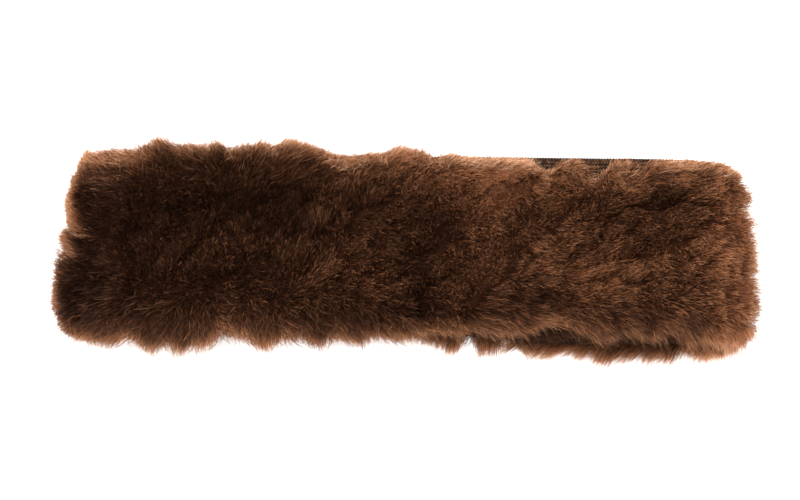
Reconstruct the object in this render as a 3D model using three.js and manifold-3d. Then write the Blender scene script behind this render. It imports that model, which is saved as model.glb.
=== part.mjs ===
// A winter headband: deep brown fur round a loop of wide knitted elastic, lying flat.
// Millimetres, +Z up. X runs along the band, Y across it, and the fur of the back layer rests on z = 0.
import * as THREE from 'three';
import { mergeVertices } from 'three/addons/utils/BufferGeometryUtils.js';
import Module from 'manifold-3d';

const wasm = await Module();
wasm.setup();

// Driving dimensions
const ELASTIC_WIDTH = 63.5;
const ELASTIC_THICKNESS = 1.6;
const CLEARANCE = 0.35; // between the elastic and the skin side of the fur
const PELT_WIDTH = 59;
const DENSE_SHARE = 0.6; // of the pile's height is so dense that it reads as one body
const DENSE_INSET = 2.6; // how far that dense part stays back from the tips at both edges
const STATIONS = 60;
const EDGE = ELASTIC_WIDTH / 2;
const SKIN = ELASTIC_THICKNESS / 2 + CLEARANCE; // the pelt's inner face, from the wall's mid-line

// The loop, once round: the front layer from left to right, the right fold, the back layer, the left fold.
// x, y, z: the middle of the elastic wall. pile: the fur's height above it.
// heading: where the locks point, 0 being onwards round the loop and 90 towards +Y. lift: how steeply they rise.
const SECTIONS = [
  { at: 'front, far left', x: -106, y: 3.6, z: 24.4, pile: 12.5, heading: 160, lift: 46 },
  { at: 'front, left', x: -62, y: 3.6, z: 21.6, pile: 13.5, heading: 92, lift: 50 },
  { at: 'front, middle', x: 0, y: 3.5, z: 18.6, pile: 13, heading: 28, lift: 38 },
  { at: 'front, right', x: 62, y: 2.9, z: 20.8, pile: 12.5, heading: 4, lift: 32 },
  { at: 'front, far right', x: 106, y: 1.6, z: 23.6, pile: 12, heading: 0, lift: 36 },
  { at: 'right fold', x: 119, y: -1.2, z: 16.8, pile: 12.5, heading: 0, lift: 60 },
  { at: 'back, far right', x: 106, y: -3.4, z: 10.6, pile: 9.6, heading: 0, lift: 38 },
  { at: 'back, right', x: 62, y: -4, z: 10, pile: 9.2, heading: 0, lift: 28 },
  { at: 'back, middle', x: 0, y: 0.8, z: 10, pile: 9.2, heading: 0, lift: 28 },
  { at: 'back, left', x: -62, y: 2.8, z: 10, pile: 9.2, heading: 0, lift: 28 },
  { at: 'back, far left', x: -106, y: 2.6, z: 10.6, pile: 9.6, heading: 0, lift: 38 },
  { at: 'left fold', x: -119, y: 2.4, z: 16.8, pile: 12.5, heading: 180, lift: 66 },
];

// How far the fur of the front layer reaches past the elastic's upper and lower edges.
const FRINGE = [
  { x: -122, upper: -6, lower: 1 },
  { x: -110, upper: 1, lower: 7 },
  { x: -93, upper: 5.5, lower: 9.5 },
  { x: -82, upper: 3, lower: 9 },
  { x: -71, upper: 5, lower: 7.5 },
  { x: -64, upper: 2, lower: 3.5 },
  { x: -54, upper: 4.5, lower: 8.5 },
  { x: -40, upper: 4.5, lower: 5.5 },
  { x: -22, upper: 0, lower: 6 },
  { x: 0, upper: 2.8, lower: 5 },
  { x: 12, upper: -1, lower: 6 },
  { x: 22, upper: 0.5, lower: 6.5 },
  { x: 46, upper: -1.5, lower: 3.5 },
  { x: 58, upper: -1.5, lower: 0.5 },
  { x: 72, upper: -2, lower: 5 },
  { x: 92, upper: -0.5, lower: 6 },
  { x: 110, upper: -1, lower: 5 },
  { x: 122, upper: -4, lower: 1 },
];
const BACK_FRINGE = { upper: 3.5, lower: 6.5 };

// The locks stand in strips across the band, each strip a little further on at its upper end.
const LOCKS = {
  strips: 34,
  rows: [-26, -17.5, -8, 3, 14.5, 26],
  slant: 0.16,
  length: 25,
  rootHeight: 0.34, // as a share of the pile
  wander: 2.4,
  edgeLength: 9.5, // how far across the outermost rows reach, at least
  backSize: 1.35, // the pressed locks of the back layer are fewer and broader
};
// One lock: sections from root to tip, as shares of its length, and its half width and half depth in mm.
const LOCK_FORM = [
  { reach: 0, halfWidth: 4.6, halfDepth: 3 },
  { reach: 0.4, halfWidth: 6.4, halfDepth: 3.4 },
  { reach: 0.78, halfWidth: 4.2, halfDepth: 2.2 },
];
const LOCK_SIDES = 4;

const loop = new THREE.CatmullRomCurve3(
  SECTIONS.map((s) => new THREE.Vector3(s.x, s.y, s.z)), true, 'centripetal');
loop.arcLengthDivisions = 600;
const LOOP_LENGTH = loop.getLength();

// A repeatable scatter from -1 to 1 for each seed.
function scatter(seed) {
  return 2 * THREE.MathUtils.seededRandom(1 + seed * 7919) - 1;
}

// The wall's mid-line and outward direction at a distance round the loop.
function frameAt(along) {
  const share = THREE.MathUtils.euclideanModulo(along / LOOP_LENGTH, 1);
  const centre = loop.getPointAt(share);
  const tangent = loop.getTangentAt(share);
  const outward = new THREE.Vector3(-tangent.z, 0, tangent.x).normalize();
  return { centre, outward };
}

// A column of SECTIONS at a distance round the loop.
function sectionValue(column, along) {
  const share = THREE.MathUtils.euclideanModulo(along / LOOP_LENGTH, 1);
  const place = loop.getUtoTmapping(share) * SECTIONS.length;
  const before = Math.floor(place) % SECTIONS.length;
  const after = (before + 1) % SECTIONS.length;
  return THREE.MathUtils.lerp(SECTIONS[before][column], SECTIONS[after][column], place - Math.floor(place));
}

// A point given by its distance round the loop, across it, and out from the wall's mid-line.
function wrapped(along, across, height) {
  const { centre, outward } = frameAt(along);
  return centre.addScaledVector(outward, height).add(new THREE.Vector3(0, across, 0));
}

// How much longer a step round the loop is at the fur's surface than at the wall. It is large at the folds.
function spreadAt(along) {
  const height = sectionValue('pile', along);
  return wrapped(along + 0.5, 0, height).distanceTo(wrapped(along - 0.5, 0, height));
}

// Distances round the loop, evenly spaced as they show on the fur's surface.
function evenPlaces(count) {
  const samples = 900;
  const step = LOOP_LENGTH / samples;
  const passed = [0];
  for (let i = 0; i < samples; i++) passed.push(passed[i] + spreadAt((i + 0.5) * step));
  return Array.from({ length: count }, (_, k) => {
    const wanted = (k / count) * passed[samples];
    const i = passed.findLastIndex((sum) => sum <= wanted);
    return (i + (wanted - passed[i]) / (passed[i + 1] - passed[i])) * step;
  });
}

// A closed ring of a profile swept round the loop. profileAt(along) gives [across, height] pairs.
function sweptRing(profileAt) {
  const count = profileAt(0).length;
  const vertices = [];
  const faces = [];
  const places = evenPlaces(STATIONS);
  for (let i = 0; i < STATIONS; i++) {
    for (const [across, height] of profileAt(places[i])) {
      vertices.push(...wrapped(places[i], across, height).toArray());
    }
    for (let j = 0; j < count; j++) {
      const next = ((i + 1) % STATIONS) * count;
      const a = i * count + j;
      const b = i * count + ((j + 1) % count);
      const c = next + ((j + 1) % count);
      const d = next + j;
      faces.push(a, b, c, a, c, d);
    }
  }
  return indexed(vertices, faces);
}

function indexed(vertices, faces) {
  const geometry = new THREE.BufferGeometry();
  geometry.setAttribute('position', new THREE.Float32BufferAttribute(vertices, 3));
  geometry.setIndex(faces);
  return geometry;
}

function toSolid(geometry) {
  const bare = geometry.clone();
  bare.deleteAttribute('normal');
  bare.deleteAttribute('uv');
  const merged = mergeVertices(bare, 1e-4);
  return new wasm.Manifold(new wasm.Mesh({
    numProp: 3,
    vertProperties: merged.attributes.position.array,
    triVerts: new Uint32Array(merged.index.array),
  }));
}

function toGeometry(solid) {
  const { vertProperties, triVerts } = solid.getMesh();
  return indexed(Array.from(vertProperties), Array.from(triVerts));
}

// The elastic is a plain wall: four corners carried round the loop.
function elasticGeometry() {
  const half = ELASTIC_THICKNESS / 2;
  return sweptRing(() => [[-EDGE, -half], [EDGE, -half], [EDGE, half], [-EDGE, half]]);
}

// What the fur is kept clear of: the elastic and the whole hollow inside it, closed at both edges.
function coreGeometry() {
  const half = EDGE + 2 * CLEARANCE;
  const rim = evenPlaces(STATIONS).map((along) => wrapped(along, 0, SKIN - 0.05));
  const caps = THREE.ShapeUtils.triangulateShape(rim.map((p) => new THREE.Vector2(p.x, p.z)), []);
  const vertices = rim.flatMap(({ x, y, z }) => [x, y - half, z, x, y + half, z]);
  const faces = rim.flatMap((_, i) => {
    const [a, b] = [2 * i, 2 * ((i + 1) % STATIONS)];
    return [a, b, b + 1, a, b + 1, a + 1];
  });
  for (const [a, b, c] of caps) faces.push(2 * a, 2 * b, 2 * c, 2 * a + 1, 2 * c + 1, 2 * b + 1);
  return indexed(vertices, faces);
}

// How far the tips reach past the elastic's edge, at a distance round the loop.
function fringeAt(column, along) {
  const { centre, outward } = frameAt(along);
  const after = FRINGE.findIndex((row) => row.x > centre.x);
  const [a, b] = [FRINGE[after - 1], FRINGE[after]];
  const front = THREE.MathUtils.mapLinear(centre.x, a.x, b.x, a[column], b[column]);
  return THREE.MathUtils.lerp(front, BACK_FRINGE[column], THREE.MathUtils.smoothstep(-outward.z, 0.3, 0.9));
}

// The pelt with the dense foot of its fur, rounded at both edges.
function backingGeometry() {
  const half = PELT_WIDTH / 2;
  return sweptRing((along) => {
    const top = SKIN + DENSE_SHARE * (sectionValue('pile', along) - SKIN);
    const rise = top - SKIN;
    const upper = EDGE + fringeAt('upper', along) - DENSE_INSET;
    const lower = EDGE + fringeAt('lower', along) - DENSE_INSET;
    return [
      [-half, SKIN],
      [half, SKIN],
      [upper, SKIN + 0.45 * rise],
      [0.8 * upper, top],
      [-0.8 * lower, top],
      [-lower, SKIN + 0.45 * rise],
    ];
  });
}

// One lock, from a root on the pelt to a tip, both as [along, across, height].
function lockGeometry(root, tip, size) {
  const vertices = [];
  const faces = [];
  const step = [tip[0] - root[0], tip[1] - root[1]];
  const spread = spreadAt(root[0]);
  const run = Math.hypot(step[0] * spread, step[1]);
  const side = [-step[1] / run / spread, (step[0] * spread) / run];
  for (const { reach, halfWidth, halfDepth } of LOCK_FORM) {
    const rise = Math.sin((reach * Math.PI) / 2); // it climbs first and lies over towards its tip
    const middle = [
      root[0] + reach * step[0],
      root[1] + reach * step[1],
      root[2] + rise * (tip[2] - root[2]),
    ];
    for (let k = 0; k < LOCK_SIDES; k++) {
      const turn = (k / LOCK_SIDES) * 2 * Math.PI;
      const out = size * halfWidth * Math.cos(turn);
      const up = size * halfDepth * Math.sin(turn);
      const height = middle[2] + up;
      vertices.push(...wrapped(middle[0] + out * side[0], middle[1] + out * side[1], height).toArray());
    }
  }
  vertices.push(...wrapped(...tip).toArray());
  for (let k = 1; k < LOCK_SIDES - 1; k++) faces.push(0, k + 1, k);
  for (let ring = 0; ring < LOCK_FORM.length; ring++) {
    for (let k = 0; k < LOCK_SIDES; k++) {
      const a = ring * LOCK_SIDES + k;
      const b = ring * LOCK_SIDES + ((k + 1) % LOCK_SIDES);
      if (ring === LOCK_FORM.length - 1) faces.push(a, b, LOCK_FORM.length * LOCK_SIDES);
      else faces.push(a, b, b + LOCK_SIDES, a, b + LOCK_SIDES, a + LOCK_SIDES);
    }
  }
  return indexed(vertices, faces);
}

// Where a lock starts and ends, as [along, across, height], and its size.
function lockPlace(place, row, seed) {
  const back = frameAt(place).outward.z < -0.5;
  const across = LOCKS.rows[row] + 0.5 * LOCKS.wander * scatter(seed);
  const spread = spreadAt(place);
  const along = place + (LOCKS.slant * across + LOCKS.wander * scatter(seed + 0.3)) / spread;
  const pile = sectionValue('pile', along);
  const heading = THREE.MathUtils.degToRad(sectionValue('heading', along) + 12 * scatter(seed + 0.6));
  const lift = THREE.MathUtils.degToRad(sectionValue('lift', along));
  const run = LOCKS.length * (1 + 0.12 * scatter(seed + 0.8)) * Math.cos(lift);
  const root = [along, across, SKIN + LOCKS.rootHeight * (pile - SKIN)];
  const tip = [
    along + (run * Math.cos(heading)) / spread,
    across + run * Math.sin(heading),
    pile + 0.8 * scatter(seed + 0.9),
  ];
  const edgeRow = row === 0 || row === LOCKS.rows.length - 1;
  if (edgeRow) {
    // The outermost rows splay out over the elastic's edges.
    const side = Math.sign(across);
    tip[0] = along + (0.5 * run * Math.cos(heading)) / spread;
    const reach = EDGE + fringeAt(side > 0 ? 'upper' : 'lower', tip[0]);
    root[1] = side * Math.min(Math.abs(across), reach - LOCKS.edgeLength);
    tip[1] = side * reach;
    tip[2] = SKIN + 0.6 * (pile - SKIN);
  }
  return { root, tip, size: (back ? LOCKS.backSize : 1) * (1 + 0.1 * scatter(seed + 0.5)) };
}

function furGeometry() {
  let fur = toSolid(backingGeometry());
  const rows = LOCKS.rows.length;
  evenPlaces(2 * LOCKS.strips).forEach((place, step) => {
    // Odd steps carry the rows in between, so that the locks stand like bricks.
    const back = frameAt(place).outward.z < -0.5;
    for (let row = step % 2; row < rows; row += 2) {
      if (back && step % 4 > 1) continue;
      const { root, tip, size } = lockPlace(place, row, step * rows + row);
      fur = fur.add(toSolid(lockGeometry(root, tip, size)));
    }
  });
  fur = fur.subtract(toSolid(coreGeometry()));
  // The fur is pressed flat where it meets the surface under it.
  const below = new THREE.BoxGeometry(400, 200, 40).translate(0, 0, -20);
  return toGeometry(outerBody(fur.subtract(toSolid(below))));
}

// The largest of a solid's bodies, so that pockets sealed in between locks are filled.
function outerBody(solid) {
  return solid.decompose().reduce((a, b) => (b.volume() > a.volume() ? b : a));
}

const materials = {
  fur: new THREE.MeshStandardMaterial({ color: 0x5a3420, roughness: 0.85, metalness: 0 }),
  elastic: new THREE.MeshStandardMaterial({ color: 0x33221b, roughness: 0.9, metalness: 0 }),
};

function namedMesh(name, geometry, material) {
  const mesh = new THREE.Mesh(geometry, material);
  mesh.name = name;
  return mesh;
}

const headband = new THREE.Group();
headband.add(
  namedMesh('elastic_band', elasticGeometry(), materials.elastic),
  namedMesh('fur_band', furGeometry(), materials.fur),
);

// The origin is the middle of the whole headband, on the surface that it lies on.
const box = new THREE.Box3().setFromObject(headband);
const middle = box.getCenter(new THREE.Vector3());
for (const mesh of headband.children) mesh.geometry.translate(-middle.x, -middle.y, -box.min.z);

export default headband;
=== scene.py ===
import math

import bpy
import numpy as np
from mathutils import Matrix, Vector


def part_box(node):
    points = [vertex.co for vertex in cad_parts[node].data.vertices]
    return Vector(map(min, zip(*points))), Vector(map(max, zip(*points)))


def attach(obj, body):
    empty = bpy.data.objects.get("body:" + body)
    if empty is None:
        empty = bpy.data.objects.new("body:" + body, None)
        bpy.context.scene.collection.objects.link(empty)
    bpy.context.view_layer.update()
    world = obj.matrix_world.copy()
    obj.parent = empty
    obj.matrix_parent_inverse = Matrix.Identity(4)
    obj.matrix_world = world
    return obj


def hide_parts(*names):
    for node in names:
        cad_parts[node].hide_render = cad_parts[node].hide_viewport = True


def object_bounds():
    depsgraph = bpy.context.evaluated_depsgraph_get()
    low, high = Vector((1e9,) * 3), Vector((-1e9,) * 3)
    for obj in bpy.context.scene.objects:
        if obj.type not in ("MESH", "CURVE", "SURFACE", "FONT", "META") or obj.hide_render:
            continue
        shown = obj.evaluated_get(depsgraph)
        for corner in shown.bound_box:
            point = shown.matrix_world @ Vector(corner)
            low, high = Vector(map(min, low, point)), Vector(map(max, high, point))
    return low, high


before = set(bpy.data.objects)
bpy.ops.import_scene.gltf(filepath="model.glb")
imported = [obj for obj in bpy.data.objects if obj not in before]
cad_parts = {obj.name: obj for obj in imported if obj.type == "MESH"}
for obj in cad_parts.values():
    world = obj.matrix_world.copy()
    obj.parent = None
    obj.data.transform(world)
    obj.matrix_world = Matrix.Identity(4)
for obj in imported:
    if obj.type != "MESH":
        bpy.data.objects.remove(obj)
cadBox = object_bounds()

mm = 0.001  # the tables below are in millimetres, and meshes are in metres

# The camera looks straight down on the headband lying on its surface.
cameraView = {
    "lens": 100.0, "sensor": 36.0,
    "widthOverObject": 1.128,  # how much wider the view is than the headband
    "aimX": -1.4, "aimY": 1.7,  # the view's middle, beside the headband's own
    "lookHeight": 28.0,  # the height at which the view has that width
}


def makeCamera(view):
    lowest, highest = cadBox
    data = bpy.data.cameras.new("camera")
    data.lens = view["lens"]
    data.sensor_width = view["sensor"]
    data.clip_start, data.clip_end = 0.05, 20
    camera = bpy.data.objects.new("camera", data)
    bpy.context.scene.collection.objects.link(camera)
    width = (highest.x - lowest.x) * view["widthOverObject"]
    distance = width * view["lens"] / view["sensor"]
    camera.location = Vector((view["aimX"] * mm, view["aimY"] * mm, view["lookHeight"] * mm + distance))
    camera.rotation_euler = (0, 0, 0)
    bpy.context.scene.camera = camera


makeCamera(cameraView)
print("camera made")

# The loop that everything is wrapped round: the front layer from left to right, the right fold, the back
# layer from right to left and the left fold.
# x, y, z: the middle of the elastic. pile: the fur's height above it. heading: where its hairs point, 0 being
# onwards round the loop and 90 towards +Y. lift: how steeply they rise. ruffle: how far their tips stray.
# splay: how far in from the pelt's edges the hairs start to turn outwards. upper, middle, lower: how light
# the fur is along its upper edge, in its middle and along its lower edge, 0 being the darkest fur and 1 the
# lightest; these are partly the fur's own colour and partly painted light and shade: painted light along the
# front's upper edge and on the right fold, and painted shade on the front's left, where the hairs stand up,
# and along its lower edge. rim: how much lighter the tips along the outline are, a painted glow of light
# coming through the hair tips.
sectionColumns = (
    "x", "y", "z", "pile", "heading", "lift", "ruffle", "splay", "upper", "middle", "lower", "rim",
)
sectionRows = [
    (-106, 3.6, 24.4, 12.5, 140, 76, 2.1, 15, 0.105, 0.050, 0.082, 0.36),  # front, far left
    (-62, 3.6, 21.6, 13.5, 88, 77, 1.6, 14, 0.068, 0.062, 0.100, 0.34),  # front, left
    (0, 3.5, 18.6, 13.0, 28, 76, 1.0, 13, 0.550, 0.140, 0.085, 0.24),  # front, middle
    (62, 2.9, 20.8, 12.5, 8, 74, 0.7, 11, 0.430, 0.255, 0.110, 0.07),  # front, right
    (106, 1.6, 23.6, 12.0, 4, 74, 0.7, 11, 0.440, 0.240, 0.160, 0.11),  # front, far right
    (119, -1.2, 16.8, 12.5, 0, 76, 0.9, 11, 0.780, 0.720, 0.760, 1.00),  # right fold
    (106, -3.4, 10.6, 9.6, 30, 54, 0.6, 9, 0.340, 0.280, 0.360, 0.50),  # back, far right
    (62, -4.0, 10.0, 9.2, 50, 50, 0.6, 9, 0.280, 0.280, 0.300, 0.50),  # back, right
    (0, 0.8, 10.0, 9.2, 50, 50, 0.6, 9, 0.280, 0.240, 0.320, 0.50),  # back, middle
    (-62, 2.8, 10.0, 9.2, 50, 50, 0.6, 9, 0.280, 0.210, 0.280, 0.40),  # back, left
    (-106, 2.6, 10.6, 9.6, 50, 54, 0.8, 10, 0.280, 0.190, 0.280, 0.40),  # back, far left
    (-119, 2.4, 16.8, 12.5, 180, 74, 1.7, 14, 0.220, 0.080, 0.100, 0.55),  # left fold
]

elasticSize = {"width": 63.5, "thickness": 1.6, "clearance": 0.35}
edge = elasticSize["width"] / 2
skin = elasticSize["thickness"] / 2 + elasticSize["clearance"]


def makeLoop(rows, steps=200):
    # A closed centripetal Catmull-Rom curve through the sections.
    points = np.array([row[:3] for row in rows], float)
    before, start, end, after = (np.roll(points, k, axis=0) for k in (1, 0, -1, -2))
    gapBefore, gap, gapAfter = (np.sqrt(np.linalg.norm(b - a, axis=1))[:, None]
                                for a, b in ((before, start), (start, end), (end, after)))
    leave = ((start - before) / gapBefore - (end - before) / (gapBefore + gap) + (end - start) / gap) * gap
    arrive = ((end - start) / gap - (after - start) / (gap + gapAfter) + (after - end) / gapAfter) * gap
    t = (np.arange(steps) / steps)[None, :, None]
    start, end, leave, arrive = (part[:, None] for part in (start, end, leave, arrive))
    line = (start * (1 - 3 * t**2 + 2 * t**3) + end * (3 * t**2 - 2 * t**3)
            + leave * (t - 2 * t**2 + t**3) + arrive * (t**3 - t**2)).reshape(-1, 3)
    line = np.vstack([line, line[:1]])
    along = np.append(0, np.cumsum(np.linalg.norm(np.diff(line, axis=0), axis=1)))
    place = np.append(np.arange(len(rows) * steps) / steps, len(rows))
    return {"along": along, "line": line, "place": place, "length": along[-1]}


loop = makeLoop(sectionRows)


def locate(along):
    # The elastic's centre, and the directions away from it and onwards, at distances round the loop.
    s = np.mod(along, loop["length"])
    near = 0.2  # the way onwards is taken from this far ahead and behind
    centre = np.stack([np.interp(s, loop["along"], loop["line"][:, k]) for k in range(3)], -1)
    ahead = np.mod(s + near, loop["length"])
    behind = np.mod(s - near, loop["length"])
    onwardX, onwardZ = (np.interp(ahead, loop["along"], loop["line"][:, k])
                        - np.interp(behind, loop["along"], loop["line"][:, k]) for k in (0, 2))
    size = np.hypot(onwardX, onwardZ)
    outward = np.stack([-onwardZ / size, np.zeros(s.shape), onwardX / size], -1)
    return centre, outward


def sectionValue(column, along):
    place = np.interp(np.mod(along, loop["length"]), loop["along"], loop["place"])
    values = [row[sectionColumns.index(column)] for row in sectionRows]
    return np.interp(place, np.arange(len(values) + 1), values + values[:1])


def wrapped(along, across, height):
    centre, outward = locate(along)
    point = centre + outward * np.asarray(height)[..., None]
    point[..., 1] += across
    return point


# The loop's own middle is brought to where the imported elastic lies.
lowest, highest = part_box("elastic_band")
rim = np.vstack([wrapped(loop["along"], side * edge, 0.5 * elasticSize["thickness"]) for side in (-1, 1)])
shift = np.array((lowest + highest) / 2) / mm - (rim.max(0) + rim.min(0)) / 2
loop["line"] = loop["line"] + shift * np.array([1, 1, 0])
print("loop", round(loop["length"], 1), "mm round, moved by", shift.round(2))

# Distance round the fur's own surface, which is longer than the elastic at the folds.
surfaceAlong = np.linspace(0, loop["length"], 2401)
surfacePoints = wrapped(surfaceAlong, 0, sectionValue("pile", surfaceAlong))
surfacePassed = np.append(0, np.cumsum(np.linalg.norm(np.diff(surfacePoints, axis=0), axis=1)))
surfaceLength = surfacePassed[-1]


def alongAt(around):
    turns = np.floor(around / surfaceLength)
    return np.interp(around - turns * surfaceLength, surfacePassed, surfaceAlong) + turns * loop["length"]


# x, then how far the fur reaches past the elastic's edge there. The high points are tufts, and the low points
# of the front's upper edge are gaps that show the elastic.
frontUpperEdge = [
    (-123, -2.3), (-118, -0.2), (-113, 0.8), (-108, -0.6), (-104, 0.0), (-99, 1.5), (-96, 4.5),
    (-93, 7.6), (-91, 6.7), (-89, 4.1), (-84, 2.7), (-82, 4.4), (-75, 2.7), (-73, 5.3), (-71, 6.5),
    (-69, 3.9), (-64, 1.7), (-61, 4.8), (-57, 3.9), (-53, 5.9), (-48, 2.2), (-42, 6.9), (-37, 4.5),
    (-34, 3.8), (-31, 2.2), (-22, -3.1), (-13, -0.1), (-8, 0.1), (1, 3.6), (4, 0.1), (7, 2.7), (13, -3.1),
    (19, -0.1), (28, -2.3), (39, -2.4), (41, -3.2), (48, -2.6), (50, -5.4), (54, -6.6), (56, -4.6),
    (58.5, -1.6), (67, -1.6), (68, -8.6), (71, -9.4), (74.5, -6.6), (78, -3.0), (79.6, -1.6),
    (80.8, -1.6), (82, -7.0), (85.5, -9.0), (88.5, -5.0), (90, -0.8), (97, -1.9), (104, -2.3),
    (106, -0.6), (110, -1.4), (116, -0.4), (118.5, -2.2), (120.5, -5.5), (122, -7.5),
]
frontLowerEdge = [
    (-123, -0.3), (-120, 0.6), (-118, 3.6), (-113, 6.6), (-111, 8.5), (-107, 4.4), (-103, 4.6),
    (-98, 8.7), (-95, 11.4), (-92, 6.8), (-87, 10.6), (-84, 12.8), (-81, 7.2), (-78, 9.9), (-71, 6.5),
    (-69, 2.8), (-66, 2.4), (-62, 4.8), (-57, 4.6), (-55, 8.6), (-53, 9.5), (-51, 9.0), (-46, 6.2),
    (-44, 5.0), (-41, 6.0), (-38, 4.6), (-33, 8.9), (-31, 8.9), (-28, 6.6), (-23, 4.5), (-19, 7.1),
    (-16, 7.9), (-12, 4.6), (-7, 4.2), (0, 6.0), (4, 4.4), (9, 3.0), (14, 1.6), (20, 3.2), (26, 2.0),
    (31, 1.4), (37, 2.2), (43, 2.2), (47, 2.8), (52, -0.8), (56, -2.7), (61, -2.7), (65, 0.4), (70, 1.8),
    (75, 4.8), (79, 4.8), (82, 2.2), (85, 0.4), (88, 1.4), (91, 3.0), (93, 4.4), (96, 3.0), (99, 0.2),
    (101, 0.0), (104, 3.8), (107, 5.0), (110, 3.8), (114, 4.2), (118, 4.2), (123, 4.0), (127, 3.0),
]
backLowerEdge = [
    (-118, 3.0), (-90, 4.0), (-60, 2.5), (-30, 3.2), (0, 1.0), (7, 4.2), (10, 5.3), (16, 9.9), (19, 7.6),
    (21, 0.6), (25, -0.8), (28, 9.0), (30, 6.2), (33, 7.6), (37, 5.6), (39, -0.4), (43, 1.4), (47, 5.4),
    (50, 7.5), (57, 4.1), (59, 4.0), (64, 6.0), (68, 4.9), (71, 8.0), (75, 8.7), (79, 6.3), (84, 7.0),
    (87, 5.6), (90, 8.2), (93, 7.8), (96, 6.2), (99, 8.6), (106, 5.5), (110, 8.4), (115, 7.3), (119, 5.2),
    (124, 1.0),
]
backUpperEdge = [
    (-118, 1.0), (-90, 4.0), (-64, 2.0), (-40, 4.0), (-12, 0.0), (16, 0.0), (40, -1.0), (118, -1.0),
]

# Place across the pelt, the share of the full pile that stands there at the fold, and how far its tips lean
# up. The left fold's fur has a narrow slit just above its middle.
leftEnd = [
    (-36, 0.02, -1.0), (-34, 0.12, -1.2), (-30, 0.74, -1.5), (-25, 1.18, -1.5), (-19, 1.20, -1.0),
    (-12, 1.22, 0.0), (-9, 0.98, 0.8), (-7, 0.62, 1.2), (-5.5, 0.54, 1.6), (-4, 0.66, 2.0),
    (-2, 0.88, 2.4), (0.4, 0.90, 2.8), (1.0, 0.10, 2.8), (2.8, 0.10, 2.8), (3.4, 0.52, 2.8),
    (5, 0.54, 2.6), (8, 0.64, 2.2), (12, 0.60, 1.6), (17, 0.64, 1.2), (23, 0.56, 1.0), (28, 0.20, 1.0),
    (33, 0.00, 1.0),
]
rightEnd = [
    (-38, 1.60, 0), (-34, 1.14, 0), (-30, 0.46, 0), (-26, 1.04, 0), (-20, 1.06, 0), (-16, 1.20, 0),
    (-10, 1.08, 0), (-4, 1.06, 0), (2, 1.12, 0), (5, 1.10, 0), (7, 0.98, 0), (10, 1.10, 0), (13, 0.84, 0),
    (15, 0.78, 0), (16.2, 0.60, 0), (17.6, 0.86, 0), (21, 0.96, 0), (24, 1.02, 0), (27, 0.56, 0),
    (30, 0.18, 0), (34, 0.30, 0),
]


def smoothStep(value, low, high):
    t = np.clip((value - low) / (high - low), 0, 1)
    return t * t * (3 - 2 * t)


def fringeAt(along, upper):
    # The fur's reach past the elastic's edge, and how far round the loop the nearest tuft's middle is.
    centre, outward = locate(along)
    x = centre[..., 0] - shift[0]
    onBack = outward[..., 2] < 0
    reach = np.zeros(x.shape)
    toTuft = np.zeros(x.shape)
    for isBack, isUpper, rows in ((False, True, frontUpperEdge), (False, False, frontLowerEdge),
                                  (True, True, backUpperEdge), (True, False, backLowerEdge)):
        chosen = (onBack == isBack) & (upper == isUpper)
        places, reaches = np.array(rows, float).T
        reach[chosen] = np.interp(x[chosen], places, reaches)
        tops = places[1:-1][(reaches[1:-1] > reaches[:-2]) & (reaches[1:-1] > reaches[2:])]
        away = tops - x[chosen][..., None]
        toTuft[chosen] = np.take_along_axis(away, np.abs(away).argmin(-1)[..., None], -1)[..., 0]
    return reach, toTuft * np.sign(outward[..., 2])


def atFold(along):
    # 0 on the two flat layers and 1 where the loop turns over.
    return smoothStep(np.abs(locate(along)[1][..., 0]), 0.35, 0.9)


def endValues(across, column):
    # A column of the left fold's table and of the right fold's.
    values = []
    for rows in (leftEnd, rightEnd):
        table = np.array(rows, float)
        values.append(np.interp(across, table[:, 0], table[:, column]))
    return values


def endShare(along, across):
    left, right = endValues(across, 1)
    return 1 + (np.where(locate(along)[1][..., 0] < 0, left, right) - 1) * atFold(along)


def endLean(along, across):
    left, right = endValues(across, 2)
    return np.where(locate(along)[1][..., 0] < 0, left, right) * atFold(along)
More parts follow.
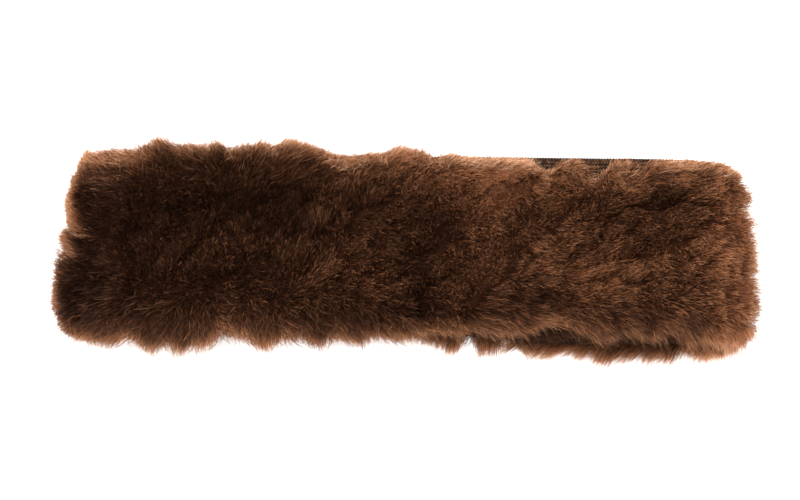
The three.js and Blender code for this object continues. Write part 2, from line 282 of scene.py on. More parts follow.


# Lighter and darker patches on the front: the middle in x and y, half the size both ways, and how many times
# as light as the fur round it. They are partly the fur's own tone and partly painted light and shade; the
# darkest, at x 85 and y -33, is a painted shadow in the seam under the front's lower fringe.
toneAndShadePatches = [
    (-74, 0, 9, 7, 1.9), (-89, 0, 7, 7, 2.0), (-86, -12, 11, 7, 1.6), (-41, -8, 6, 5, 1.2),
    (-13, -10, 8, 5, 1.35), (28, -8, 8, 6, 2.1), (34, 22, 10, 8, 3.4), (33, 3, 8, 10, 2.0),
    (49, -6, 3.5, 5, 2.2), (65, -9, 8, 4, 2.2), (82, -9, 8, 5, 1.8), (75, -16, 6, 5, 1.5),
    (102, -2, 7, 5, 1.2), (2, -6, 8, 18, 0.40), (-60, 14, 26, 9, 0.44), (-105, 8, 9, 15, 0.46),
    (46, -16, 13, 5, 0.28), (50, 3, 10, 8, 0.55), (-42, 6, 9, 12, 0.43), (-28, -9, 8, 7, 0.55),
    (74, 10, 11, 9, 0.42), (32, -16, 7, 4, 0.55), (94, -5, 7, 8, 0.78), (91, 3, 9, 8, 0.86),
    (91, 20, 9, 7, 0.26), (91, -22, 9, 6, 0.75), (106, 12, 8, 6, 0.72), (104, -15, 9, 8, 0.60),
    (-27, -23, 15, 6, 0.48), (24, 20, 14, 9, 2.0), (-117, -12, 9, 14, 0.42), (-116, 14, 5, 8, 0.45),
    (-117, 0, 5, 4, 0.5), (121, 16, 6, 9, 1.6), (122, -2, 5, 6, 0.55), (56, -25, 12, 6, 2.0),
    (75, -24, 6, 6, 0.42), (112, -25, 8, 6, 1.5), (36, 29, 18, 5, 1.3), (62, 31, 9, 5, 0.22),
    (17, -15, 7, 5, 1.5), (15, 6, 7, 5, 0.5), (-28, 5, 8, 5, 1.2), (-14, 9, 8, 6, 0.62),
    (-28, 29, 8, 5, 0.5), (-82, -30, 20, 5, 2.7), (-114, -32, 6, 4, 1.8), (-110, -24, 12, 4, 0.7),
    (-96, -36, 4, 4, 0.5), (-86, -35, 4, 4, 0.5), (-64, -32, 3, 5, 0.4), (-12, -31, 26, 4, 1.6),
    (85, -33, 30, 4, 0.10), (0, -22, 10, 5, 0.5), (98, 30, 12, 5, 1.2), (-72, 34, 5, 7, 0.45),
    (-99, 33, 3, 4, 0.5), (-64, 29, 4, 6, 1.4), (114, -35, 8, 5, 0.7),
]
# How far in from the pelt's edges the upper and lower tones start, and how far on from there they are full.
sideTones = {"start": 13.0, "width": 11.0}


def baseTone(along, across):
    # How light the fur is before its hairs differ: the sections' own values, then the patches, painted light
    # and shade included.
    centre, outward = locate(along)
    x, y = centre[..., 0] - shift[0], centre[..., 1] - shift[1] + across
    sides = np.clip((np.abs(across) - peltHalf + sideTones["start"]) / sideTones["width"], 0, 1)
    side = np.where(across > 0, sectionValue("upper", along), sectionValue("lower", along))
    lighter = sectionValue("middle", along) * (1 - sides) + sides * side
    for middleX, middleY, long, wide, times in toneAndShadePatches:
        inside = np.exp(-(((x - middleX) / long) ** 2 + ((y - middleY) / wide) ** 2)) * (outward[..., 2] > 0)
        lighter = lighter * times**inside
    return lighter


def makeCells(rng, wide, deep, jitter, slant):
    # A loose grid of middles over the whole fur, each with random values for the hairs nearest to it.
    columns = int(round(surfaceLength / wide))
    rows = max(1, int(round(2 * peltHalf / deep)))
    shape = (rows, columns)
    across = (np.arange(rows)[:, None] + 0.5 + jitter * rng.uniform(-1, 1, shape)) / rows * 2 * peltHalf
    stagger = 0.5 * (np.arange(rows)[:, None] % 2)
    around = (np.arange(columns)[None, :] + stagger + 0.5 + jitter * rng.uniform(-1, 1, shape)) / columns
    return {
        "rows": rows, "columns": columns, "slant": slant,
        "across": across - peltHalf, "around": around * surfaceLength, "stagger": stagger,
        "turn": rng.normal(0, 1, shape), "rise": rng.normal(0, 1, shape), "tall": rng.normal(0, 1, shape),
        "tone": rng.normal(0, 1, shape), "gather": rng.uniform(0, 1, shape),
    }


def nearestCell(cells, around, across):
    # Which cell each place is in, and how far it is from that cell's middle.
    rows, columns = cells["rows"], cells["columns"]
    around = around - cells["slant"] * across
    row = np.clip(((across + peltHalf) / (2 * peltHalf) * rows).astype(int), 0, rows - 1)
    best = np.full(around.shape, np.inf)
    bestRow = np.zeros(around.shape, int)
    bestColumn = np.zeros(around.shape, int)
    for rowStep in (-1, 0, 1):
        valid = (row + rowStep >= 0) & (row + rowStep < rows)
        near = np.clip(row + rowStep, 0, rows - 1)
        column = np.floor(around / surfaceLength * columns - cells["stagger"][near, 0]).astype(int)
        for columnStep in (-1, 0, 1):
            there = np.mod(column + columnStep, columns)
            away = around - cells["around"][near, there]
            away -= surfaceLength * np.round(away / surfaceLength)
            distance = np.where(valid, np.hypot(away, across - cells["across"][near, there]), np.inf)
            closer = distance < best
            best = np.where(closer, distance, best)
            bestRow = np.where(closer, near, bestRow)
            bestColumn = np.where(closer, there, bestColumn)
    awayAround = around - cells["around"][bestRow, bestColumn]
    awayAround -= surfaceLength * np.round(awayAround / surfaceLength)
    awayAcross = across - cells["across"][bestRow, bestColumn]
    return {"id": (bestRow, bestColumn), "awayAround": awayAround, "awayAcross": awayAcross, "distance": best}


hillsHalf = 70  # how far across the hills are laid out to both sides, well past the pelt


def makeHills(rng, size):
    return rng.normal(0, 1, (int(2 * hillsHalf / size) + 3, int(round(surfaceLength / size)))), size


def hillsAt(hills, around, across):
    # Smooth random values, about one hill or hollow to each stretch of the given size.
    grid, size = hills
    columns = grid.shape[1]
    u = around / surfaceLength * columns
    v = (across + hillsHalf) / size
    i, j = np.floor(u).astype(int), np.floor(v).astype(int)
    s, t = smoothStep(u - i, 0, 1), smoothStep(v - j, 0, 1)
    i, nextI = np.mod(i, columns), np.mod(i + 1, columns)
    low = grid[j, i] * (1 - s) + grid[j, nextI] * s
    high = grid[j + 1, i] * (1 - s) + grid[j + 1, nextI] * s
    return low * (1 - t) + high * t


# Hairs gather into groups within groups. wide, deep: size of one. slant: how far its column leans. gather:
# how much its hairs lean together. turn, rise: spread of its heading and lift, in degrees. tall, tone: spread
# of its height and colour. dome: how much lower its border is. shingle: how much higher its far side is.
groupColumns = ("wide", "deep", "slant", "gather", "turn", "rise", "tall", "tone", "dome", "shingle")
groupRows = {
    "lock": (24.0, 18.0, 0.5, (0.03, 0.15), 12.0, 5.0, 0.07, 0.18, 0.12, 0.08),
    "tuft": (10.0, 7.5, 0.4, (0.06, 0.30), 11.0, 5.0, 0.08, 0.20, 0.24, 0.18),
    "wisp": (1.6, 1.3, 0.0, (0.00, 0.05), 3.0, 2.0, 0.02, 0.05, 0.00, 0.00),
}
furShape = {
    "peltWidth": 59.0, "trianglesPerPiece": 180000,
    "foldDensity": 1.3,  # how much denser the hairs are at a fold
    # the soft hills: their sizes, how far they turn the hairs, and how they change the tone
    "hills": (30.0, 12.0), "hillTurns": (12.0, 6.0), "hillTone": 0.10,
    # every hair by itself, in degrees, shares and millimetres
    "hairTurn": 6.0, "hairRise": 4.0, "hairTall": 0.04, "hairStray": 0.25, "hairBend": 0.3,
    "lowestLift": 34, "steepestLift": 86, "lowestPile": 1.2, "hairWidth": 0.19,
    "short": 0.06, "shortest": 0.62,  # how much shorter than full the hairs are, and the shortest of them
    "groupJitter": 0.38, "groupHeights": (0.75, 1.2),  # how loose the groups' grid is, and how tall they get
    "shares": (0.32, 0.76, 1.0),  # root, widest place and tip of what shows of a hair
    "curve": 1.4,  # how strongly a hair's tip bends over
    "pressed": 0.6,  # how softly the surface under the headband presses the hairs level
    # how much of the groups' domes and gathering a fold takes away, and how its hairs' heights differ
    "foldDome": 0.85, "foldGather": 0.5, "foldSpread": 0.05, "foldBack": 0.03,
    # the fringe: how its wisps and hairs turn, stray, lean onwards and bend, and its wisps' tips and heights
    "fringeTurn": 0.9, "fringeSpread": 0.6, "fringeStray": 2.6, "fringeLean": 6.0, "fringeLoose": 0.8,
    "fringeBend": 0.8, "fringePoint": 0.5, "fringeTall": 0.4, "leastSplay": 5, "splaySway": 0.3,
    "fringeCurve": 1.6, "fringeFall": 0.3,  # how late its hairs turn outwards, and how much lower they end
    "gapSpots": (0.35, 0.7),  # where on its way to its tip a hair looks out for a gap
    "gapMargin": 1.0,  # how far a hair may pass over a gap's edge
    "leastEndShare": 0.05,  # stands in where a fold has no pile
    "tuftDraw": 0.2, "tuftReach": 4.0,  # how strongly, and from how far, a tuft draws the fringe's hairs
    "rootInset": 1.5,  # how far inside the fringe's outline the last roots stand
    "edgeUpper": 0.3, "edgeLower": 1.1, "edgeSpread": 1.1,  # how far the longest hairs pass the outline
    # hairs at the pelt's edges that fan out, from hanging down behind the fringe to standing up
    "fanDepth": 4.0, "fanBehind": 0.35, "fanLift": 78.0, "fanLowest": 0.08,
    # the last of these: how much darker the hanging hairs hidden between the two layers are, a painted shade
    "hangHeight": 0.6, "hangReach": 4.4, "hangShade": 0.22,
    # guards, the longer and lighter hairs: their share inside and along the edges, and how they differ
    "guardShare": (0.045, 0.10), "guardTall": 0.22, "guardStray": 1.5, "guardTone": 2.8, "guardThin": 0.6,
    "guardReach": 3.0, "guardStop": -0.6,  # no guard reaches out where the fringe's own reach is below this
    # how far in from the upper and the lower outline and the two ends the tips are lighter, and pale, a
    # painted glow of light coming through the hair tips
    "rimWidths": (3.6, 5.5), "endRimWidth": 3.8, "paleWidth": 3.0,
    "lowerPale": 0.8, "fullRim": 0.3,  # the lower edge's paleness, and the rim value that gives all of it
    # spread of the hairs' own tones, inside and along the edges and the folds, and of the pale tips
    "hairTone": 1.30, "edgeTone": 0.75, "paleSpread": 0.6,
}
paleShare = 0.4  # the part of the range of tones that is kept for the pale tips
leftmost, rightmost = loop["line"][:, 0].min(), loop["line"][:, 0].max()
pileColumn = sectionColumns.index("pile")
leftTip, rightTip = sectionRows[11][pileColumn], sectionRows[5][pileColumn]  # the full pile at the two folds
peltHalf = furShape["peltWidth"] / 2

rng = np.random.default_rng(7)
groups = []
for row in groupRows.values():
    group = dict(zip(groupColumns, row))
    group["cells"] = makeCells(rng, group["wide"], group["deep"], furShape["groupJitter"], group["slant"])
    groups.append(group)
tufts, wisps = groups[1:]
wideHills, narrowHills = (makeHills(rng, size) for size in furShape["hills"])
print(len(groups), "sizes of group laid out on", round(surfaceLength), "mm of fur")


def spreadValues(rng, count, low=-2, high=2):
    # Random values around 0, without the extremes.
    return np.clip(rng.normal(0, 1, count), low, high)


def standingPile(along, across, shape):
    # How high the full hairs stand above the elastic.
    return np.maximum(sectionValue("pile", along) * endShare(along, across) - skin, shape["lowestPile"])


def findRoots(around, across, fan):
    # What the next steps ask about the places that the hairs are rooted at.
    along = alongAt(around)
    return {
        "around": around, "across": across, "along": along, "fan": fan, "count": len(around),
        "fold": atFold(along), "upper": across > 0, "ruffle": sectionValue("ruffle", along),
        "wide": hillsAt(wideHills, around, across), "narrow": hillsAt(narrowHills, around, across),
        "found": [nearestCell(group["cells"], around, across) for group in groups],
    }


def leanHairs(roots, rng, shape):
    # Each hair's heading and lift, and how much lighter its groups make it.
    along, wide, narrow = roots["along"], roots["wide"], roots["narrow"]
    wideTurn, narrowTurn = shape["hillTurns"]
    heading = sectionValue("heading", along) + wideTurn * wide + narrowTurn * narrow
    heading = heading + shape["hairTurn"] * rng.normal(0, 1, roots["count"])
    lift = sectionValue("lift", along) + shape["hairRise"] * rng.normal(0, 1, roots["count"])
    lighter = shape["hillTone"] * wide
    for group, cell in zip(groups, roots["found"]):
        cells, chosen = group["cells"], cell["id"]
        heading = heading + group["turn"] * cells["turn"][chosen]
        lift = lift + group["rise"] * cells["rise"][chosen]
        lighter = lighter + group["tone"] * cells["tone"][chosen]
    return np.radians(heading), np.radians(np.clip(lift, shape["lowestLift"], shape["steepestLift"])), lighter


def raiseHairs(roots, heading, lift, rng, shape):
    # Each hair's height, and how far its tip lies from its root along and across, as its groups have it.
    count, along, across, fold = roots["count"], roots["along"], roots["across"], roots["fold"]
    rise = standingPile(along, across, shape)
    rise = rise * (1 + shape["hairTall"] * spreadValues(rng, count))
    gatherAround, gatherAcross = np.zeros((2, count))
    for group, cell in zip(groups, roots["found"]):
        cells, chosen, radius = group["cells"], cell["id"], 0.5 * group["wide"]
        downstream = (np.cos(heading) * cell["awayAround"] + np.sin(heading) * cell["awayAcross"]) / radius
        outside = np.clip(cell["distance"] / radius, 0, 1.2)
        rise = rise * (1 - group["dome"] * (1 - shape["foldDome"] * fold) * outside**2)
        rise = rise * np.clip(1 + group["tall"] * cells["tall"][chosen], *shape["groupHeights"])
        rise = rise * (1 + group["shingle"] * np.clip(downstream, -1, 1))
        low, high = group["gather"]
        gather = (low + (high - low) * cells["gather"][chosen]) * (1 - shape["foldGather"] * fold)
        gatherAround = gatherAround + gather * cell["awayAround"]
        gatherAcross = gatherAcross + gather * cell["awayAcross"]
    rise = rise * (1 + fold * (shape["foldSpread"] * spreadValues(rng, count) - shape["foldBack"]))
    run = rise / np.tan(lift)
    ruffle = roots["ruffle"]
    stepAround = run * np.cos(heading) - gatherAround + ruffle * rng.normal(0, 1, count)
    stepAcross = run * np.sin(heading) - gatherAcross + ruffle * rng.normal(0, 1, count)
    return rise, stepAround, stepAcross + endLean(along, across)


def makeFringe(roots, heading, rise, stepAround, stepAcross, rng, shape):
    # Near the pelt's edges the hairs turn outwards, over the elastic and past it.
    count, around, across, upper = roots["count"], roots["around"], roots["across"], roots["upper"]
    fan, inWisp = roots["fan"], roots["found"][2]
    start = peltHalf - sectionValue("splay", roots["along"]) * (1 + shape["splaySway"] * roots["narrow"])
    start = np.minimum(start, peltHalf - shape["leastSplay"])
    splay = np.clip((np.abs(across) - start) / (peltHalf - start), 0, 1)
    sideways = shape["fringeTurn"] * wisps["cells"]["turn"][inWisp["id"]]
    loosely = shape["fringeSpread"] + shape["fringeStray"] * roots["ruffle"]
    sideways = sideways + loosely * rng.normal(0, 1, count)
    sideways = sideways + shape["fringeLean"] * np.cos(heading) * splay
    stepAround = stepAround + splay * sideways
    toTuft = fringeAt(alongAt(around + stepAround), upper)[1]
    drawn = np.clip(toTuft, -shape["tuftReach"], shape["tuftReach"])
    stepAround = stepAround + shape["tuftDraw"] * splay * drawn

    # How far out each tip may reach. hang: hairs of the pelt's edge that hang down behind the fringe, and
    # hidden: those of them that are between the two layers.
    reach = fringeAt(alongAt(around + stepAround), upper)[0]
    hang = np.where(fan < 0, -fan, 0)
    hidden = (hang > 0) & ~upper & (locate(roots["along"])[1][:, 2] > 0)
    reach = np.where(hidden, np.maximum(reach, shape["hangReach"] * (1 - roots["fold"])), reach)
    offWisp = np.clip(inWisp["awayAround"] / (0.5 * wisps["wide"]), -1, 1)
    limit = (edge + reach + np.where(upper, shape["edgeUpper"], shape["edgeLower"])
             + shape["edgeSpread"] * spreadValues(rng, count, -2.5)
             + shape["fringeTall"] * wisps["cells"]["tall"][inWisp["id"]] - shape["fringePoint"] * offWisp**2)

    # Hairs beside a gap in the edge stand up rather than cross it.
    lowest = reach
    for share in shape["gapSpots"]:
        lowest = np.minimum(lowest, fringeAt(alongAt(around + share * stepAround), upper)[0])
    past = np.maximum(np.abs(across) - (limit + lowest - reach) - shape["gapMargin"], 0)
    stepAround = stepAround / (1 + past)
    limit = np.maximum(limit, np.abs(across) - shape["gapMargin"])

    # Where the fringe turns round a fold, its hairs are as short as the fold's own.
    atTip, atRoot = (np.maximum(endShare(place, across), shape["leastEndShare"])
                     for place in (alongAt(around + stepAround), roots["along"]))
    shorter = np.minimum(atTip / atRoot, 1)
    rise = np.where(splay > 0, np.maximum(rise * shorter, shape["lowestPile"]), rise)

    level = np.radians(shape["fanLift"]) * fan
    outwards = (limit - peltHalf) * np.where(fan == 0, splay ** shape["fringeCurve"], np.cos(level))
    outwards = outwards + (fan != 0) * np.minimum(peltHalf - np.abs(across), shape["fanDepth"])
    tip = np.abs(across) + np.sign(across) * stepAcross * (1 - splay) + outwards
    stepAcross = np.sign(across) * (np.minimum(tip, limit) - np.abs(across))
    rise = rise * np.where(fan == 0, 1 - shape["fringeFall"] * splay**2, shape["fanLowest"] + np.sin(level))
    rise = np.where(hang > 0, shape["hangHeight"], rise)
    return {"rise": rise, "stepAround": stepAround, "stepAcross": stepAcross, "hang": hang, "hidden": hidden,
            "loose": np.maximum(splay, roots["fold"]), "inside": limit - np.minimum(tip, limit)}


def tipTones(roots, hairs, lighter, shape):
    # The tips that reach the outline are lighter, and the outermost are pale: a painted glow of light coming
    # through the hair tips. The hanging hairs hidden between the two layers get painted shade.
    along, across, upper = roots["along"], roots["across"], roots["upper"]
    tipAlong = alongAt(roots["around"] + hairs["stepAround"])
    tipX = wrapped(tipAlong, across + hairs["stepAcross"], skin + hairs["rise"])[:, 0]
    leftShare, rightShare = endValues(across, 1)
    farthest = np.where(tipX > 0, rightTip * rightShare, leftTip * leftShare)
    insideEnd = farthest + np.where(tipX > 0, rightmost - tipX, tipX - leftmost)
    rim = 1 - smoothStep(hairs["inside"] / np.where(upper, *shape["rimWidths"]), 0, 1)
    rim = np.maximum(rim, 1 - smoothStep(insideEnd / shape["endRimWidth"], 0, 1))
    sectionRim = sectionValue("rim", along)
    tone = baseTone(along, across) * np.exp(lighter) + sectionRim * rim
    # painted shade on the hanging hairs hidden between the two layers
    tone = np.where(hairs["hidden"], shape["hangShade"] * tone, tone)
    pale = 1 - smoothStep(np.minimum(hairs["inside"], insideEnd) / shape["paleWidth"], 0, 1)
    pale = pale * np.where(upper, 1, shape["lowerPale"] * np.minimum(sectionRim / shape["fullRim"], 1))
    return tone, np.where(hairs["hidden"], 0, pale)


def plantRoots(startPassed, endPassed, fanShare, rng, shape):
    # Random places, denser at the folds. A share of the hairs is moved to the pelt's edges, to fan out there.
    count = shape["trianglesPerPiece"] // 2
    places = np.linspace(startPassed, endPassed, 400)
    crowd = np.cumsum(1 + shape["foldDensity"] * atFold(alongAt(places)))
    around = np.interp(rng.uniform(crowd[0], crowd[-1], count), crowd, places)
    across = rng.uniform(-peltHalf, peltHalf, count)
    fanned = rng.uniform(0, 1, count) < fanShare
    nearEdge = peltHalf - shape["fanDepth"] * rng.uniform(0, 1, count)
    across = np.where(fanned, np.sign(across) * nearEdge, across)
    behind = shape["fanBehind"]
    fan = np.where(fanned, rng.uniform(-behind, 1 - behind, count), 0)
    fan = np.where(fan < 0, fan / behind, fan / (1 - behind))
    outermost = edge + fringeAt(alongAt(around), across > 0)[0] - shape["rootInset"]
    across = np.sign(across) * np.minimum(np.abs(across), outermost)
    return findRoots(around, across, fan)


def growHair(startPassed, endPassed, fanShare, rng, shape):
    # The hairs' centre lines as (hair, point, xyz), how far along a full hair each point is, and the hairs'
    # tones and widths.
    roots = plantRoots(startPassed, endPassed, fanShare, rng, shape)
    heading, lift, lighter = leanHairs(roots, rng, shape)
    rise, stepAround, stepAcross = raiseHairs(roots, heading, lift, rng, shape)
    hairs = makeFringe(roots, heading, rise, stepAround, stepAcross, rng, shape)
    tone, pale = tipTones(roots, hairs, lighter, shape)
    count, around, across = roots["count"], roots["around"], roots["across"]
    loose, hang = hairs["loose"], hairs["hang"]

    stray = shape["hairStray"] + shape["fringeLoose"] * loose**2
    stepAround = hairs["stepAround"] + stray * rng.normal(0, 1, count)
    stepAcross = hairs["stepAcross"] + stray * rng.normal(0, 1, count)
    bend = shape["hairBend"] + shape["fringeBend"] * roots["ruffle"] * loose**2
    bendAround, bendAcross = bend * rng.normal(0, 1, (2, count))
    grown = np.clip(1 - shape["short"] * np.abs(rng.normal(0, 1, count)), shape["shortest"], 1)

    inside, atEdge = shape["guardShare"]
    guard = rng.uniform(0, 1, count) < inside + (atEdge - inside) * loose
    grown = np.where(guard, 1, grown)
    taller = hairs["rise"] * (1 + shape["guardTall"] * rng.uniform(0, 1, count))
    rise = np.where(guard & (hang == 0), taller, hairs["rise"])
    stepAround = stepAround + guard * shape["guardStray"] * rng.normal(0, 1, count)
    stepAcross = stepAcross + guard * shape["guardStray"] * rng.normal(0, 1, count)
    further = guard * loose**2 * shape["guardReach"] * rng.uniform(0, 1, count)
    reach = fringeAt(alongAt(around + stepAround), across > 0)[0]
    stepAcross = stepAcross + np.sign(across) * np.where(reach > shape["guardStop"], further, 0)
    tone = np.where(guard, shape["guardTone"] * tone, tone)

    lines = np.zeros((count, len(shape["shares"]), 3))
    places = np.zeros((count, len(shape["shares"])))
    for k, share in enumerate(shape["shares"]):
        u = share * grown
        forward = u ** shape["curve"]
        wave = np.sin(math.pi * u)
        acrossHere = across + stepAcross * forward + bendAcross * wave
        height = skin + rise * np.sin(u * math.pi / 2) - hang * np.maximum(np.abs(acrossHere) - edge, 0)
        lines[:, k] = wrapped(alongAt(around + stepAround * forward + bendAround * wave), acrossHere, height)
        places[:, k] = u
    soft = shape["pressed"]
    low = lines[:, :, 2] < 4 * soft  # what is higher stays as it is
    lines[:, :, 2][low] = soft * np.log1p(np.exp(lines[:, :, 2][low] / soft))

    toneSpread = shape["hairTone"] + (shape["edgeTone"] - shape["hairTone"]) * loose**2
    tone = np.clip(tone * np.exp(toneSpread * spreadValues(rng, count, -2.5, 1.5)), 0, 1)
    tone = tone * (1 - paleShare) + paleShare * pale * rng.uniform(0, 1, count) ** shape["paleSpread"]
    width = shape["hairWidth"] * np.where(guard, shape["guardThin"], 1)
    return lines, places, tone, width


def linkMesh(name, verts, tris, mapName, corners):
    # corners: the place on the map of each triangle's corners, which the colours are read from.
    mesh = bpy.data.meshes.new(name)
    mesh.vertices.add(len(verts))
    mesh.vertices.foreach_set("co", (verts * mm).astype(np.float32).ravel())
    mesh.loops.add(3 * len(tris))
    mesh.loops.foreach_set("vertex_index", tris.astype(np.int32).ravel())
    mesh.polygons.add(len(tris))
    mesh.polygons.foreach_set("loop_start", np.arange(0, 3 * len(tris), 3, dtype=np.int32))
    mesh.update(calc_edges=True)
    mesh.polygons.foreach_set("use_smooth", np.ones(len(tris), bool))
    for layerName in (mapName, "OFBake"):
        layer = mesh.uv_layers.new(name=layerName, do_init=False)
        layer.uv.foreach_set("vector", corners.astype(np.float32).ravel())
    piece = bpy.data.objects.new(name, mesh)
    bpy.context.scene.collection.objects.link(piece)
    return piece


def bladeMesh(name, lines, places, tone, width, rng):
    # Each hair is a narrow kite of two triangles, bent at its widest place and turned at random.
    count = len(lines)
    side = np.cross(lines[:, 2] - lines[:, 0], rng.normal(0, 1, (count, 3)))
    side *= (0.5 * width * rng.uniform(0.7, 1.3, count) / np.linalg.norm(side, axis=1))[:, None]
    verts = np.stack([lines[:, 0], lines[:, 1] - side, lines[:, 1] + side, lines[:, 2]], 1)
    corners = np.stack([places[:, [0, 1, 1, 2]], np.repeat(tone[:, None], 4, 1)], -1)
    tris = (np.array([(0, 2, 1), (1, 2, 3)])[None] + (np.arange(count) * 4)[:, None, None]).reshape(-1, 3)
    return linkMesh(name, verts.reshape(-1, 3), tris, "hair", corners.reshape(-1, 2)[tris])


def ringMesh(name, ring, mapName="place", values=None):
    # A wall closed both ways: ring is (station round the loop, point of the section, xyz). values: the place
    # on the map of each of its points, where it isn't simply the place round the loop and round the section.
    stations, size, _ = ring.shape
    i, j = (grid.ravel() for grid in np.meshgrid(np.arange(stations), np.arange(size), indexing="ij"))
    corner = [(i + a, j + b) for a, b in ((0, 0), (0, 1), (1, 1), (1, 0))]
    index = [(a % stations) * size + b % size for a, b in corner]
    place = [np.stack([a / stations, b / size], -1) for a, b in corner]
    if values is not None:
        place = [values.reshape(-1, 2)[k] for k in index]
    tris = np.concatenate([np.stack([index[k] for k in face], -1) for face in ((0, 1, 2), (0, 2, 3))])
    corners = np.concatenate([np.stack([place[k] for k in face], 1) for face in ((0, 1, 2), (0, 2, 3))])
    return linkMesh(name, ring.reshape(-1, 3), tris, mapName, corners)


def addNode(material, kind, values=None, **settings):
    node = material.node_tree.nodes.new(kind)
    for name, value in settings.items():
        setattr(node, name, value)
    for name, value in (values or {}).items():
        node.inputs[name].default_value = value
    return node


def addRamp(material, stops):
    ramp = addNode(material, "ShaderNodeValToRGB")
    elements = ramp.color_ramp.elements
    while len(elements) < len(stops):
        elements.new(0.5)
    for element, (position, colour) in zip(elements, stops):
        element.position, element.color = position, (*colour, 1)
    return ramp


def newMaterial(name, roughness, specular):
    material = bpy.data.materials.new(name)
    material.use_nodes = True
    shader = material.node_tree.nodes["Principled BSDF"]
    shader.inputs["Roughness"].default_value = roughness
    shader.inputs["Specular IOR Level"].default_value = specular
    return material, shader, material.node_tree.links


furLook = {
    # place along the hair, then the colours there of the darkest fur, the lightest fur and the pale tips. The
    # dark roots are partly the fur's own colour and partly painted shade in the gaps between tufts, and the
    # pale tips are a painted glow along the outline.
    "colours": [
        (0.32, (0.004, 0.0016, 0.0010), (0.060, 0.0235, 0.0130), (0.080, 0.0350, 0.0200)),
        (0.68, (0.009, 0.0034, 0.0021), (0.165, 0.0600, 0.0265), (0.320, 0.1600, 0.0800)),
        (0.90, (0.016, 0.0060, 0.0036), (0.500, 0.2080, 0.0940), (0.800, 0.5300, 0.3350)),
        (1.00, (0.030, 0.0118, 0.0070), (0.880, 0.4950, 0.2750), (0.950, 0.7700, 0.5800)),
    ],
    # through: the share of the light that comes through the hairs
    "hairs": {"roughness": 0.35, "specular": 0.05, "through": 0.4},
    "underfur": {"roughness": 0.95, "specular": 0.0, "through": 0},
}


def furMaterial(name, colours, finish):
    # The map gives the place along the hair and the hair's tone, which mixes the three colours.
    material, shader, links = newMaterial(name, finish["roughness"], finish["specular"])
    place = addNode(material, "ShaderNodeUVMap", uv_map="hair")
    split = addNode(material, "ShaderNodeSeparateXYZ")
    links.new(place.outputs["UV"], split.inputs[0])
    ramps = []
    for index in (1, 2, 3):
        ramp = addRamp(material, [(row[0], row[index]) for row in colours])
        links.new(split.outputs[0], ramp.inputs[0])
        ramps.append(ramp.outputs[0])
    colour = ramps[0]
    for ramp, low, high in ((ramps[1], 0, 1 - paleShare), (ramps[2], 1 - paleShare, 1)):
        share = addNode(material, "ShaderNodeMapRange", {1: low, 2: high})
        mix = addNode(material, "ShaderNodeMix", data_type="RGBA")
        links.new(split.outputs[1], share.inputs[0])
        # The mix takes the share at 0 and the two colours at 6 and 7, and gives the mixed one at 2.
        links.new(share.outputs[0], mix.inputs[0])
        links.new(colour, mix.inputs[6])
        links.new(ramp, mix.inputs[7])
        colour = mix.outputs[2]
    links.new(colour, shader.inputs["Base Color"])
    if not finish["through"]:
        return material
    glow = addNode(material, "ShaderNodeBsdfTranslucent")
    links.new(colour, glow.inputs["Color"])
    both = addNode(material, "ShaderNodeMixShader", {0: finish["through"]})
    links.new(shader.outputs[0], both.inputs[1])
    links.new(glow.outputs[0], both.inputs[2])
    links.new(both.outputs[0], material.node_tree.nodes["Material Output"].inputs["Surface"])
    return material


def dressPiece(piece, material, node):
    piece.data.materials.append(material)
    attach(piece, "root")
    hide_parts(node)
    print(piece.name, len(piece.data.polygons), "triangles")


# The fur, in pieces round the loop. name: from where to where, counted in sections, and the share of its
# hairs that fan out at the pelt's edges.
pieceTable = {
    "fur_front_left": (0.0, 1.4, 0.34),
    "fur_front_middle": (1.4, 2.6, 0.34),
    "fur_front_right": (2.6, 4.4, 0.34),
    "fur_back_right": (4.4, 8.0, 0.60),
    "fur_back_left": (8.0, 12.0, 0.34),
}


def makeFur(name, start, end, fanShare, shape, material):
    # Random values that depend on the piece's name alone, so that no piece changes another.
    rng = np.random.default_rng(sum(map(ord, name)))
    ends = [np.interp(np.interp(place, loop["place"], loop["along"]), surfaceAlong, surfacePassed)
            for place in (start, end)]
    lines, places, tone, width = growHair(ends[0], ends[1], fanShare, rng, shape)
    piece = bladeMesh(name, lines, places, tone, width, rng)
    dressPiece(piece, material, "fur_band")


furFinish = furMaterial("brown fur", furLook["colours"], furLook["hairs"])
for name, (start, end, fanShare) in pieceTable.items():
    makeFur(name, start, end, fanShare, furShape, furFinish)

# The dense underfur that the hairs grow out of.
underfurShape = {
    "stations": 560, "profile": 26,
    "pileShare": 0.38, "atFold": 0.40,  # its height as a share of the hairs', and what a fold adds
    "edgeInset": 1.0, "lowest": 0.4,
    "squareness": 0.55, "fullness": 0.45,  # the lower, the squarer its edges and the fuller its sides
    "dome": 0.5, "foldDome": 0.7,  # how much lower it is between tufts, and the part a fold takes away
    "hairPlace": (0.55, 0.75),  # which part of a hair its colour matches, on the flat and at the folds
}


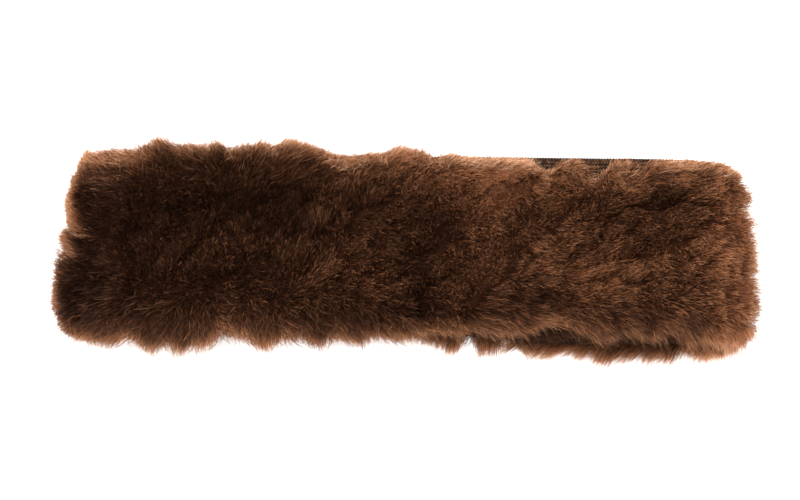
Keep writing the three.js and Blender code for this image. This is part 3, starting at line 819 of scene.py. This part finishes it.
def makeUnderfur(shape):
    stations, size = shape["stations"], shape["profile"]
    around = np.linspace(0, surfaceLength, stations, endpoint=False)[:, None] + np.zeros(size)
    along = alongAt(around)
    fold = atFold(along)
    turn = np.linspace(0, math.pi, size)[None, :]
    cosine = np.cos(turn)
    across = np.sign(cosine) * np.abs(cosine) ** shape["squareness"] + np.zeros(around.shape)
    fur = np.minimum(peltHalf, edge + fringeAt(along, across > 0)[0] - furShape["rootInset"])
    across = across * (fur - shape["edgeInset"])
    tuft = nearestCell(tufts["cells"], around, across)
    outside = np.clip(2 * tuft["distance"] / tufts["wide"], 0, 1.2)
    dome = 1 - shape["dome"] * outside**2 * (1 - shape["foldDome"] * fold)
    share = shape["pileShare"] + shape["atFold"] * fold
    height = share * standingPile(along, across, furShape) * dome * np.sin(turn) ** shape["fullness"]
    ring = wrapped(along, across, skin + height)[:, ::-1]
    ring[..., 2] = np.maximum(ring[..., 2], shape["lowest"])
    onFlat, onFold = shape["hairPlace"]
    # its colours follow the fur's tones, painted light and shade included
    colours = np.stack([onFlat + (onFold - onFlat) * fold, (1 - paleShare) * baseTone(along, across)], -1)
    return ringMesh("underfur", ring, "hair", colours[:, ::-1])


underfurFinish = furMaterial("dense underfur", furLook["colours"], furLook["underfur"])
dressPiece(makeUnderfur(underfurShape), underfurFinish, "fur_band")

# The woven elastic, ribbed across and toothed along its edges.
elasticLook = {
    "ribPitch": 1.1, "ribDepth": 0.12, "stationsPerRib": 4,
    "toothDepth": 0.7, "toothOut": 0.4,  # how deep the teeth are cut, and how far their points pass the edge
    "threadPitch": 0.9, "threadShade": 0.45, "fleckScale": 600.0, "bump": 0.7, "bumpHeight": 0.0002,
    "dark": (0.010, 0.0052, 0.0036), "light": (0.150, 0.074, 0.037), "shades": (0.55, 1.0),
    "roughness": 0.9, "specular": 0.03,
}
# The points of half the elastic's section across its width, as shares of half the width, close at the edges.
elasticSpots = np.array([-1, -0.985, -0.94, -0.5, 0.5, 0.94, 0.985, 1])


def makeElastic(size, look):
    ribs = int(round(loop["length"] / look["ribPitch"]))
    along = np.linspace(0, loop["length"], ribs * look["stationsPerRib"], endpoint=False)[:, None]
    ridge = 0.5 + 0.5 * np.cos(2 * math.pi * ribs * along / loop["length"])
    spots = np.concatenate([elasticSpots, elasticSpots[::-1]])
    tooth = look["toothOut"] - look["toothDepth"] * (1 - ridge)
    across = spots * (size["width"] / 2 + tooth)
    side = np.repeat([1, -1], len(elasticSpots))
    slim = np.clip(1.35 - np.abs(spots) ** 24, 0.35, 1)  # thinner at the very edge
    height = side * (0.5 * size["thickness"] * slim - look["ribDepth"] * (1 - ridge))
    return ringMesh("elastic", wrapped(along + np.zeros(across.shape), across, height))


def elasticMaterial(size, look):
    material, shader, links = newMaterial("woven elastic", look["roughness"], look["specular"])
    ribs = round(loop["length"] / look["ribPitch"])
    threads = round(2 * size["width"] / look["threadPitch"])
    place = addNode(material, "ShaderNodeUVMap", uv_map="place")
    split = addNode(material, "ShaderNodeSeparateXYZ")
    links.new(place.outputs["UV"], split.inputs[0])
    waves = []
    for output, count in ((0, ribs), (1, threads)):
        angle = addNode(material, "ShaderNodeMath", {1: 2 * math.pi * count}, operation="MULTIPLY")
        wave = addNode(material, "ShaderNodeMath", operation="COSINE")
        links.new(split.outputs[output], angle.inputs[0])
        links.new(angle.outputs[0], wave.inputs[0])
        waves.append(wave)
    weave = addNode(material, "ShaderNodeMath", operation="MULTIPLY")
    links.new(waves[0].outputs[0], weave.inputs[0])
    links.new(waves[1].outputs[0], weave.inputs[1])
    where = addNode(material, "ShaderNodeTexCoord")
    fleck = addNode(material, "ShaderNodeTexNoise", {"Scale": look["fleckScale"], "Detail": 2.0})
    links.new(where.outputs["Object"], fleck.inputs["Vector"])
    shade = addNode(material, "ShaderNodeMath", {1: look["threadShade"]}, operation="MULTIPLY_ADD")
    links.new(weave.outputs[0], shade.inputs[0])
    links.new(fleck.outputs[0], shade.inputs[2])
    ramp = addRamp(material, list(zip(look["shades"], (look["dark"], look["light"]))))
    links.new(shade.outputs[0], ramp.inputs[0])
    links.new(ramp.outputs[0], shader.inputs["Base Color"])
    bump = addNode(material, "ShaderNodeBump", {"Strength": look["bump"], "Distance": look["bumpHeight"]})
    links.new(shade.outputs[0], bump.inputs["Height"])
    links.new(bump.outputs[0], shader.inputs["Normal"])
    return material


elastic = makeElastic(elasticSize, elasticLook)
dressPiece(elastic, elasticMaterial(elasticSize, elasticLook), "elastic_band")

# The floor and the light.
studio = {
    "world": 1.45,  # the even white light from all round
    "floor": (0.95, 0.95, 0.945), "floorGlow": 0.25, "floorSize": 6, "floorFinish": (0.9, 0.2),
    "key": 24.0, "keySize": (0.7, 0.5), "keyPlace": (-0.16, 0.3, 1.0),  # a soft light above the left end
}


def makeStudio(values):
    scene = bpy.context.scene
    scene.view_settings.view_transform = "Standard"
    scene.world = bpy.data.worlds.new("studio")
    scene.world.use_nodes = True
    background = scene.world.node_tree.nodes["Background"]
    background.inputs["Color"].default_value = (1, 1, 1, 1)
    background.inputs["Strength"].default_value = values["world"]
    bpy.ops.mesh.primitive_plane_add(size=values["floorSize"])
    floor = bpy.context.object
    floor.name = "floor"
    material, shader, _ = newMaterial("pale floor", *values["floorFinish"])
    shader.inputs["Base Color"].default_value = (*values["floor"], 1)
    shader.inputs["Emission Color"].default_value = (1, 1, 1, 1)
    shader.inputs["Emission Strength"].default_value = values["floorGlow"]
    floor.data.materials.append(material)
    data = bpy.data.lights.new("key", "AREA")
    data.shape = "RECTANGLE"
    data.size, data.size_y = values["keySize"]
    data.energy = values["key"]
    light = bpy.data.objects.new("key", data)
    scene.collection.objects.link(light)
    light.location = values["keyPlace"]
    light.rotation_euler = (-light.location).to_track_quat("-Z", "Y").to_euler()


makeStudio(studio)
print("floor and light made")
